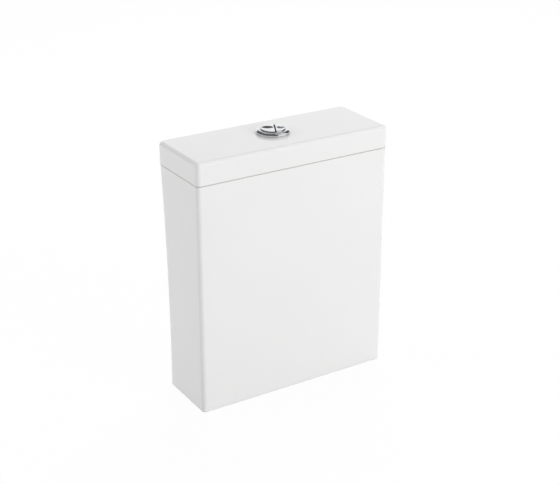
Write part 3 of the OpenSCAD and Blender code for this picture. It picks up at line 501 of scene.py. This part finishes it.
# Steps along the back wall and outwards, and the turn about the middle that follows them
LUG_PLACES = [
    (LUG_ALONG, 0, 0), (-LUG_ALONG, 0, 0), (LUG_ALONG, 0, 180), (-LUG_ALONG, 0, 180),
    (0, END_SHIFT, 90), (0, END_SHIFT, 270),
]
for along, out, turn in LUG_PLACES:
    lug = first_lug.copy()
    lug.data = first_lug.data.copy()
    bpy.context.scene.collection.objects.link(lug)
    edit(lug)
    bpy.ops.mesh.select_all(action="SELECT")
    bpy.ops.transform.translate(value=(along, out, 0))
    bpy.ops.transform.rotate(value=math.radians(turn), orient_axis="Z", center_override=(0, 0, 0))
    done()
    combine(china_lid, lug, "UNION")
bpy.data.objects.remove(first_lug)
bore(china_lid, BUTTON_HOLE_R, (0, BUTTON_Y, LID_Z), 96)
soften(china_lid, LID_EDGE, 3)
stand_for(china_lid, "lid")

# %% [markdown]
# ## Turned pieces
# The bezel, the seals and the washers are all round, so each is a section spun about an axis. The section is
# a circle primitive with one point for each corner; its points are put in place, the corners are rounded by a
# vertex bevel, and the spin makes the ring.

# %% Turning helper
OUTLET_AT, INLET_AT, BUTTON_AT = (0, 0), (INLET_X / MM, INLET_Y / MM), (0, BUTTON_Y / MM)


def turned(name, section, at, steps=96):
    """Spin a section of (radius, height, round) corners about an upright axis, all in millimetres."""
    piece = start(name, bpy.ops.mesh.primitive_circle_add, vertices=len(section), radius=0.01)
    edit(piece)
    mesh = bmesh.from_edit_mesh(piece.data)
    mesh.verts.ensure_lookup_table()
    for point, (radius, z, _) in zip(mesh.verts, section):
        point.co = (radius * MM, 0, z * MM)
    bmesh.update_edit_mesh(piece.data)
    for radius, z, rounding in section:
        if rounding:
            corner = Vector((radius * MM, 0, z * MM))
            pick(piece, "VERT", lambda v: (v.co - corner).length < MERGE)
            bpy.ops.mesh.bevel(offset=rounding * MM, segments=6, affect="VERTICES", clamp_overlap=False)
    bpy.ops.mesh.select_all(action="SELECT")
    bpy.ops.mesh.spin(steps=steps, angle=2 * math.pi, center=(0, 0, 0), axis=(0, 0, 1))
    bpy.ops.mesh.select_all(action="SELECT")
    bpy.ops.mesh.remove_doubles(threshold=MERGE)
    bpy.ops.mesh.normals_make_consistent(inside=False)
    bpy.ops.transform.translate(value=(at[0] * MM, at[1] * MM, 0))
    done()
    smooth(piece, 32)
    return piece


print("turning about", OUTLET_AT, INLET_AT, BUTTON_AT)

# %% [markdown]
# The bezel is the chrome collar round the keys. It could be a bevelled cylinder with a bore, but its broad
# outer round, its seat for the sleeve and its lip over the rubber pad all lie in one section.

# %% Chrome bezel
chrome_bezel = turned("chrome_bezel", [
    (26.05, 439, 0), (27.6, 439, 0), (27.6, 438.1, 0), (28.5, 438.1, 0.3), (28.5, 444, 3.4), (21, 444, 0.9),
    (21, 440.5, 0), (26.05, 440.5, 0)], BUTTON_AT, steps=128)
stand_for(chrome_bezel, "button_bezel")

# %% [markdown]
# Four flat rings of rubber seal the joints: under the bezel, under the flanges of the outlet and of the fill
# valve, and under the seal disc. They differ only in size, so a loop turns them, with soft outer corners.

# %% Rubber rings
RING_ROUND = 0.35
# Inner and outer radius, foot, top and place, in millimetres
RINGS = {
    "bezel_pad": (23.4, 27.5, 438, 439, BUTTON_AT),
    "outlet_washer": (30.2, 40.5, 47, 50, OUTLET_AT),
    "valve_seal": (14.8, 33, 59, 62, OUTLET_AT),
    "inlet_washer": (10.88, 17, 47, 49.5, INLET_AT),
}
for node, (in_r, out_r, low, high, at) in RINGS.items():
    section = [(in_r, low, 0), (out_r, low, RING_ROUND), (out_r, high, RING_ROUND), (in_r, high, 0)]
    stand_for(turned("soft_" + node, section, at), node)

# %% [markdown]
# The diaphragm shuts the fill valve when the float is up. Its rim is clamped and the ring inside it bends, so
# a shallow dish runs round its top. The doughnut seal lies between the tank and the pan, round the outlet's
# nut: it has large rounds where the pan presses it, and a recess for the nut.

# %% Diaphragm and doughnut seal
diaphragm = turned("soft_diaphragm", [
    (1.2, 310.5, 0), (15, 310.5, 0.35), (15, 313, 0.35), (11.5, 313, 0.3), (10.3, 311.9, 0.4),
    (5.2, 311.9, 0.4), (4, 313, 0.3), (1.2, 313, 0)], INLET_AT)
stand_for(diaphragm, "diaphragm")
doughnut = turned("doughnut_seal", [
    (30.2, 3, 1.2), (39.5, 3, 2.0), (43.5, 15, 4.0), (43.5, 33, 1.5), (37.9, 33, 1.0), (37.9, 23.6, 0),
    (30.2, 23.6, 0)], OUTLET_AT)
stand_for(doughnut, "pan_gasket")

# %% [markdown]
# ## Keys
# The button is split off centre and turned a little: the larger key gives the full flush and the smaller one
# the half flush. Each key is a cylinder with a rounded rim, cut to a D by a block that leans back a little at
# the top, so the split opens upwards and reads as a dark line. Its underside is inset and pushed up to leave
# a thin shell, and a ball is cut out of its top to make the dish for the finger.

# %% Sizes of the keys
KEY_R, KEY_TOP, KEY_FOOT, KEY_UNDER, KEY_WALL = 0.0206, 0.4455, 0.4255, 0.442, 0.0014
DISH, KEY_ROUND, KEY_EDGE = 0.0014, 0.0012, 0.0003
SPLIT_DEPTH, SPLIT_LEAN, SPLIT_ROUND = 0.0030, 0.0008, 0.0004
BLOCK, BLOCK_FOOT = 0.060, 0.420
ROD_X, BOSS_R, BOSS_Z = 0.011, 0.0035, 0.431
BUTTON_TURN = math.radians(-27)
across = Vector((math.cos(BUTTON_TURN), math.sin(BUTTON_TURN), 0))
button_middle = Vector((0, BUTTON_Y, 0))
# Name and side, then measured across the split: the cut, the middle of the dish and its radius
KEYS = [
    ("full", -1, 0.0030, -0.0088, 0.0104),
    ("half", 1, 0.0040, 0.0123, 0.0069),
]
print("split between the keys:", round((KEYS[1][2] - KEYS[0][2]) / MM, 2), "mm")


# %% Blank and split block
def key_blank(name):
    """A cylinder with a rounded top rim."""
    blank = start(name, bpy.ops.mesh.primitive_cylinder_add, vertices=160, radius=KEY_R,
                  depth=KEY_TOP - KEY_FOOT, location=(0, BUTTON_Y, (KEY_TOP + KEY_FOOT) / 2))
    edit(blank)
    round_edges(blank, level_at(KEY_TOP), KEY_ROUND, 9)
    done()
    return blank


def split_block(side, cut):
    """A block that fills one side of the button and leans away from the split at the top."""
    centre = button_middle + (cut + side * BLOCK / 2) * across
    centre.z = (KEY_TOP + BLOCK_FOOT) / 2
    block = start("split_block", bpy.ops.mesh.primitive_cube_add, size=1, rotation=(0, 0, BUTTON_TURN),
                  scale=(BLOCK, BLOCK, KEY_TOP - BLOCK_FOOT), location=centre)
    edit(block)
    cut_level(KEY_TOP - SPLIT_DEPTH)
    on_top = level_at(KEY_TOP)
    pick(block, "EDGE", lambda e: on_top(e) and abs((middle(e) - button_middle).dot(across) - cut) < NEAR)
    bpy.ops.transform.translate(value=side * SPLIT_LEAN * across)
    bpy.ops.mesh.bevel(offset=SPLIT_ROUND, segments=5, affect="EDGES")
    done()
    return block


print("split leans", SPLIT_LEAN / MM, "mm back on each side")

# %% Flush keys
boss_top = KEY_UNDER + WELD
for side_name, side, cut, dish, dish_r in KEYS:
    key = key_blank(f"chrome_{side_name}_key")
    combine(key, split_block(side, cut), "INTERSECT")
    edit(key)
    pick(key, "FACE", lambda f: f.normal.z < -0.9)
    bpy.ops.mesh.inset(thickness=KEY_WALL)
    bpy.ops.mesh.extrude_region_move(TRANSFORM_OT_translate={"value": (0, 0, KEY_UNDER - KEY_FOOT)})
    done()
    boss = start("boss", bpy.ops.mesh.primitive_cylinder_add, vertices=48, radius=BOSS_R,
                 depth=boss_top - BOSS_Z, location=(side * ROD_X, 0, (boss_top + BOSS_Z) / 2))
    combine(key, boss, "UNION")
    ball_r = (dish_r ** 2 + DISH ** 2) / (2 * DISH)
    ball = start("ball", bpy.ops.mesh.primitive_uv_sphere_add, segments=160, ring_count=140, radius=ball_r,
                 location=button_middle + dish * across + Vector((0, 0, KEY_TOP - DISH + ball_r)))
    combine(key, ball, "DIFFERENCE")
    soften(key, KEY_EDGE, 3, 12.0)
    stand_for(key, f"{side_name}_flush_key")

# %% [markdown]
# ## Springs
# Under each key a steel spring stands on the floor of the sleeve. A circle is led up a helix by the Screw
# modifier. The spring rides with its key. The spring rides with its key, and squashes towards the key's
# underside as far as the key travels,
# so that its foot stays on the sleeve.

# %% Key springs
SPRING_R, WIRE_R, SPRING_TURNS, SPRING_FOOT, KEY_TRAVEL = 0.0045, 0.0006, 7, 0.407, 0.009
WIRE_SIDES, SPRING_STEPS, SPRING_GAP = 12, 36, 0.00005
spring_free = KEY_UNDER - SPRING_FOOT
spring_pitch = (spring_free - 2 * (WIRE_R + SPRING_GAP)) / SPRING_TURNS


def lead_up(piece, pitch, turns, steps, sides, x, y):
    """Lead a section up a helix, close its two ends, and bring it over a place."""
    modify(piece, "SCREW", axis="Z", angle=2 * math.pi, iterations=turns, steps=steps, render_steps=steps,
           screw_offset=pitch)
    edit(piece)
    bpy.ops.mesh.select_all(action="SELECT")
    bpy.ops.mesh.fill_holes(sides=sides)
    bpy.ops.mesh.select_all(action="SELECT")
    bpy.ops.mesh.normals_make_consistent(inside=False)
    bpy.ops.transform.translate(value=(x, y, 0))
    done()


for side_name, side, *_ in KEYS:
    spring = start(f"{side_name}_spring_wire", bpy.ops.mesh.primitive_circle_add, vertices=WIRE_SIDES,
                   radius=WIRE_R, rotation=(math.pi / 2, 0, 0),
                   location=(SPRING_R, 0, SPRING_FOOT + WIRE_R + SPRING_GAP))
    lead_up(spring, spring_pitch, SPRING_TURNS, SPRING_STEPS, WIRE_SIDES, side * ROD_X, 0)
    smooth(spring, 50)
    stand_for(spring, f"{side_name}_key_spring")
    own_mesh(spring)

# %% [markdown]
# ## Moulded pieces
# No mould leaves a knife edge, so the plastic pieces get a small round on every sharp edge. The CAD mesh is
# the right shape already: a copy of it is merged, because its triangles are loose, its flat areas are
# dissolved to whole faces, and a bevel that looks only at the angle does the rest.

# %% Break the edges
# Width of the round on each piece, in millimetres
EDGES = {
    "valve_tower": 0.5, "drive_frame": 0.4, "overflow_tube": 0.4, "seal_disc": 0.6, "seal_retainer": 0.6,
    "full_flush_float": 0.6, "half_flush_float": 0.6, "full_lifter": 0.35, "half_lifter": 0.35,
    "full_plunger": 0.25, "half_plunger": 0.25, "full_push_rod": 0.3, "half_push_rod": 0.3,
    "fill_head": 0.5, "fill_cap": 0.35, "hush_tube": 0.4, "float_lever": 0.4, "screw_clip": 0.35,
    "lever_pin": 0.3, "fill_float": 0.4, "lid_nut": 0.5, "outlet_backnut": 0.5, "inlet_backnut": 0.5,
    "button_sleeve": 0.3, "outlet_base": 0.4, "fill_shank": 0.35, "float_screw": 0.25,
}
moulding = {}
for node, width in EDGES.items():
    piece = bpy.data.objects.new("moulded_" + node, NODES[node].data.copy())
    bpy.context.scene.collection.objects.link(piece)
    edit(piece)
    bpy.ops.mesh.select_all(action="SELECT")
    bpy.ops.mesh.remove_doubles(threshold=MERGE)
    bpy.ops.mesh.dissolve_limited(angle_limit=math.radians(0.5))
    done()
    soften(piece, width * MM, 2, 38.0)
    moulding[node] = piece
print("edges broken on", len(moulding), "pieces")

# %% [markdown]
# Four of these pieces carry a screw thread. A triangle is led up a helix as the springs were, and the worm
# that this makes is cut out of the piece. What stays between its turns is the thread.

# %% Threads
THREAD_STEPS = 48
# Radius, place, foot, top, pitch and depth of each thread, in millimetres
THREADS = {
    "button_sleeve": (23.0, BUTTON_AT, 405, 437, 3.0, 0.8),
    "outlet_base": (29.8, OUTLET_AT, 7, 46, 4.0, 1.0),
    "fill_shank": (10.48, INLET_AT, 7, 26, 1.8, 0.8),
    "float_screw": (2.5, (79.2, -6), 261, 320, 1.6, 0.5),
}


def cut_thread(piece, radius, at, low, high, pitch, depth):
    """Cut a groove round an upright cylinder, all in millimetres."""
    turns = int((high - low) / pitch) - 1
    worm = start("worm", bpy.ops.mesh.primitive_circle_add, vertices=3, radius=pitch * MM)
    edit(worm)
    mesh = bmesh.from_edit_mesh(worm.data)
    mesh.verts.ensure_lookup_table()
    clear = 0.3 * depth
    half = 0.42 * pitch
    corners = [(radius - depth, 0), (radius + clear, half), (radius + clear, -half)]
    for point, (reach, rise) in zip(mesh.verts, corners):
        point.co = (reach * MM, 0, (low + pitch / 2 + rise) * MM)
    bmesh.update_edit_mesh(worm.data)
    done()
    lead_up(worm, pitch * MM, turns, THREAD_STEPS, 3, at[0] * MM, at[1] * MM)
    combine(piece, worm, "DIFFERENCE")
    smooth(piece, 30)


for node, sizes in THREADS.items():
    cut_thread(moulding[node], *sizes)
for node, piece in moulding.items():
    stand_for(piece, node)

# %% [markdown]
# ## Stage and light
# The floor is pale and catches a soft shadow. To the camera, and in mirrors, most of its light is a plain
# white, which gives the white ground of a catalogue picture without more light on the china.

# %% Floor
FLOOR_SIZE, FLOOR_DROP, WHITE_SHARE = 14, 0.0002, 0.95
floor = start("floor", bpy.ops.mesh.primitive_plane_add, size=FLOOR_SIZE, location=(0, 0, -FLOOR_DROP))
pale = Finish("pale_floor", Roughness=0.9)
seen = pale.ray("Camera") + pale.ray("Glossy")
pale.surface(Base_Color=pale.mix(seen, (0.45, 0.45, 0.45, 1), (1, 1, 1, 1)))
glow = pale.node("ShaderNodeEmission", None, {"Color": (1, 1, 1, 1), "Strength": 1.0})
ground = pale.node("ShaderNodeMixShader", None, {
    0: WHITE_SHARE * seen, 1: Value(pale, pale.shader.outputs[0]), 2: glow})
pale.feed(pale.tree.nodes["Material Output"], {"Surface": ground})
floor.data.materials.append(pale.material)
print("floor ready")

# %% [markdown]
# Chrome shows the room. The room here is a pale backdrop all round, a dark ceiling above it with two light
# panels, and three dark patches: at the front left, where the camera stands, at the back left and on the
# right. Glaze and chrome mirror that, and everything else gets an even light.

# %% Room
BACKDROP_END = (0.34, 0.44)
# Direction, soft edge as cosines of the angle from it, and brightness
LIGHT_PANELS = [
    ((0.45, -0.25, 0.86), (0.90, 0.96), 1.0),
    ((0.13, 0.48, 0.87), (0.945, 0.985), 0.7),
]
DARK_PATCHES = [
    ((-0.77, -0.64, 0), (0.48, 0.64)),
    ((-0.72, 0.69, 0), (0.72, 0.88)),
    ((0.97, 0, 0.24), (0.90, 0.96)),
]


class Surroundings(Finish):
    """The same node method, on the tree of the world."""

    def __init__(self, name):
        self.world = bpy.data.worlds.new(name)
        self.world.use_nodes = True
        self.tree = self.world.node_tree
        self.shader = self.tree.nodes["Background"]


def patch(way, edge):
    """One in the directions about a way, none elsewhere, with a soft edge."""
    facing = room.node("ShaderNodeVectorMath", {"operation": "DOT_PRODUCT"}, {0: sight, 1: way}, "Value")
    return room.step(facing, *edge)


room = Surroundings("studio")
sight = room.node("ShaderNodeTexCoord", out="Generated")
up = room.node("ShaderNodeSeparateXYZ", None, {0: sight}, "Z")
dark = room.step(up, *BACKDROP_END)
for way, edge, share in LIGHT_PANELS:
    dark = dark * (1 - share * patch(way, edge))
lit = 1 - dark
for way, edge in DARK_PATCHES:
    lit = lit * (1 - patch(way, edge))
print("room:", len(LIGHT_PANELS), "light panels and", len(DARK_PATCHES), "dark patches")

# %% World
AMBIENT, DARKNESS = 0.586, 0.90
camera_ray = room.ray("Camera")
mirror_ray = room.ray("Glossy")
mirrored = 1 - DARKNESS + DARKNESS * lit
room.surface(
    Color=(1, 1, 1, 1),
    Strength=camera_ray + mirror_ray * mirrored + (1 - camera_ray - mirror_ray) * AMBIENT)
bpy.context.scene.world = room.world
bpy.context.scene.view_settings.view_transform = "Standard"
print("world:", len(room.tree.nodes), "nodes")

# %% [markdown]
# Three large soft boxes model the box-shaped body: one from the front right, one from behind on the left and
# one from above behind. The upright corner towards the camera and the lid's left edge fall between them and
# come out a little darker than the faces beside them. The boxes stay out of the mirrors, which show the room
# alone.

# %% Lamps
LAMP_SIZE, LAMP_AIM = 1.8, Vector((0, 0, 0.25))
# Name, place and power
LAMPS = [
    ("front_box", (1.33, -3.66, 0.75), 82.0),
    ("side_box", (-2.42, 1.40, 0.60), 24.6),
    ("back_box", (1.60, 1.60, 2.40), 32.0),
]
for name, place, power in LAMPS:
    lamp = bpy.data.lights.new(name, "AREA")
    lamp.size = LAMP_SIZE
    lamp.energy = power
    holder = bpy.data.objects.new(name, lamp)
    holder.location = place
    holder.rotation_euler = (LAMP_AIM - holder.location).to_track_quat("-Z", "Y").to_euler()
    holder.visible_glossy = False
    bpy.context.scene.collection.objects.link(holder)
print("lamps:", ", ".join(lamp[0] for lamp in LAMPS))
